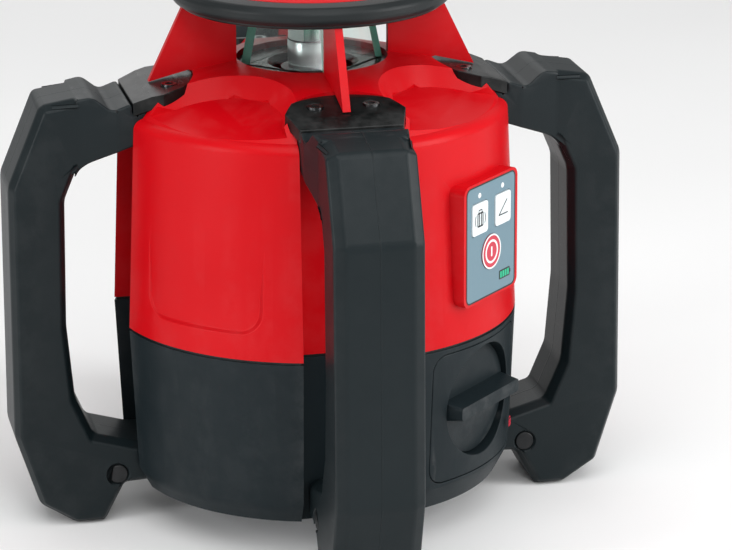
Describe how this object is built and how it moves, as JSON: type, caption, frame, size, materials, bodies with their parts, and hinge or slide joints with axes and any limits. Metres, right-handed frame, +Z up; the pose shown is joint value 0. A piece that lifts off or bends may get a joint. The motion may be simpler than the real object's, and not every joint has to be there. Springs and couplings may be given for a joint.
{
  "type": "rotating laser level",
  "caption": "Self-levelling rotating laser level with a glazed rotor cage, corner guard handles, keypad and slide-in battery pack.",
  "frame": {"origin": "on the floor plane of the feet, on the body's vertical axis", "axes": "+Z up along the rotor axis; the keypad and battery pack face -Y; guard handles stand on the diagonals"},
  "size_m": [0.2044, 0.2044, 0.23],
  "materials": {
    "red_shell": "satin moulded",
    "red_cap": "satin moulded",
    "dark_shell": "fine spark texture",
    "grip_plastic": "fine spark texture",
    "black_plastic": "semi-gloss",
    "rubber": "moulded",
    "steel": "zinc plated",
    "cast_alloy": "die cast",
    "brass": "turned",
    "pane_glass": "clear float glass",
    "head_white": "satin",
    "optics": "coated",
    "foil_grey": "printed foil",
    "key_white": "printed foil",
    "key_red": "printed foil",
    "circuit_board": "solder mask",
    "cell_wrap": "shrink sleeve",
    "belt_rubber": "moulded"
  },
  "bodies": {
    "housing": {"lower_housing": "dark_shell", "upper_housing": "red_shell", "housing_gasket": "rubber", "housing_screws": "steel", "base_plate": "cast_alloy", "base_screws": "steel", "tripod_insert": "brass", "handle_front_left": "grip_plastic", "handle_front_right": "grip_plastic", "handle_rear_right": "grip_plastic", "handle_rear_left": "grip_plastic", "handle_flange_front_left": "black_plastic", "handle_flange_front_right": "black_plastic", "handle_flange_rear_right": "black_plastic", "handle_flange_rear_left": "black_plastic", "flange_screws": "steel", "handle_bolts": "steel", "head_well": "black_plastic", "window_front": "pane_glass", "window_right": "pane_glass", "window_rear": "pane_glass", "window_left": "pane_glass", "top_plate": "black_plastic", "bumper_ring": "rubber", "top_cap": "red_cap", "keypad_foil": "foil_grey", "keypad_board": "circuit_board", "main_board": "circuit_board", "battery_bay": "black_plastic", "bay_contacts": "brass", "chassis": "cast_alloy", "outer_pivot_pins": "steel", "level_motor_y": "cast_alloy"},
    "outer_gimbal": {"gimbal_ring": "cast_alloy", "inner_pivot_pins": "steel", "level_motor_x": "cast_alloy"},
    "laser_carrier": {"carrier": "cast_alloy", "laser_module": "cast_alloy", "collimator_lens": "optics", "head_bearings": "steel", "head_motor": "cast_alloy", "drive_belt": "belt_rubber", "tilt_sensors": "pane_glass"},
    "rotating_head": {"head_hub": "cast_alloy", "head_body": "head_white", "head_prism": "optics", "head_window": "optics"},
    "head_motor_pulley": {"motor_pulley": "cast_alloy"},
    "level_spindle_x": {"spindle_x": "steel"},
    "level_nut_x": {"nut_x": "brass"},
    "level_spindle_y": {"spindle_y": "steel"},
    "level_nut_y": {"nut_y": "brass"},
    "battery_pack": {"battery_case": "dark_shell", "battery_cells": "cell_wrap", "battery_terminals": "brass"},
    "battery_lock": {"lock_knob": "dark_shell"},
    "power_key": {"key_power": "key_red"},
    "shock_key": {"key_shock": "key_white"},
    "slope_key": {"key_slope": "key_white"}
  },
  "joints": [
    {"name": "level_tilt_x", "type": "hinge", "parent": "housing", "child": "outer_gimbal", "pos_m": [0, 0, 0.16], "axis": [1, 0, 0], "range_deg": [-5, 5]},
    {"name": "level_tilt_y", "type": "hinge", "parent": "outer_gimbal", "child": "laser_carrier", "pos_m": [0, 0, 0.16], "axis": [0, 1, 0], "range_deg": [-5, 5]},
    {"name": "level_nut_y_slide", "type": "slide", "parent": "housing", "child": "level_nut_y", "axis": [0, 0, 1], "range_m": [-0.0045, 0.0045]},
    {"name": "level_spindle_y_spin", "type": "hinge", "parent": "housing", "child": "level_spindle_y", "pos_m": [0, 0.05, 0.14], "axis": [0, 0, 1], "range_deg": [-540, 540]},
    {"name": "level_nut_x_slide", "type": "slide", "parent": "outer_gimbal", "child": "level_nut_x", "axis": [0, 0, 1], "range_m": [-0.0036, 0.0036]},
    {"name": "level_spindle_x_spin", "type": "hinge", "parent": "outer_gimbal", "child": "level_spindle_x", "pos_m": [-0.04, -0.026, 0.14], "axis": [0, 0, 1], "range_deg": [-430, 430]},
    {"name": "head_spin", "type": "hinge", "parent": "laser_carrier", "child": "rotating_head", "pos_m": [0, 0, 0.18], "axis": [0, 0, 1], "continuous": true},
    {"name": "motor_pulley_spin", "type": "hinge", "parent": "laser_carrier", "child": "head_motor_pulley", "pos_m": [0.02443, 0.00889, 0.174], "axis": [0, 0, 1], "continuous": true},
    {"name": "battery_slide", "type": "slide", "parent": "housing", "child": "battery_pack", "axis": [0, -1, 0], "range_m": [0, 0.06]},
    {"name": "battery_lock_turn", "type": "hinge", "parent": "battery_pack", "child": "battery_lock", "pos_m": [0, -0.075, 0.0566], "axis": [0, -1, 0], "range_deg": [0, 90]},
    {"name": "power_key_press", "type": "slide", "parent": "housing", "child": "power_key", "axis": [0, 1, 0], "range_m": [0, 0.0005], "stiffness_N_per_m": 3000},
    {"name": "shock_key_press", "type": "slide", "parent": "housing", "child": "shock_key", "axis": [0, 1, 0], "range_m": [0, 0.0005], "stiffness_N_per_m": 3000},
    {"name": "slope_key_press", "type": "slide", "parent": "housing", "child": "slope_key", "axis": [0, 1, 0], "range_m": [0, 0.0005], "stiffness_N_per_m": 3000}
  ],
  "couplings": [
    {"joint": "level_nut_y_slide", "follows": "level_tilt_x", "m_per_rad": 0.05},
    {"joint": "level_spindle_y_spin", "follows": "level_tilt_x", "ratio": -104.72},
    {"joint": "level_nut_x_slide", "follows": "level_tilt_y", "m_per_rad": 0.04},
    {"joint": "level_spindle_x_spin", "follows": "level_tilt_y", "ratio": -83.776},
    {"joint": "motor_pulley_spin", "follows": "head_spin", "ratio": 3.25}
  ]
}
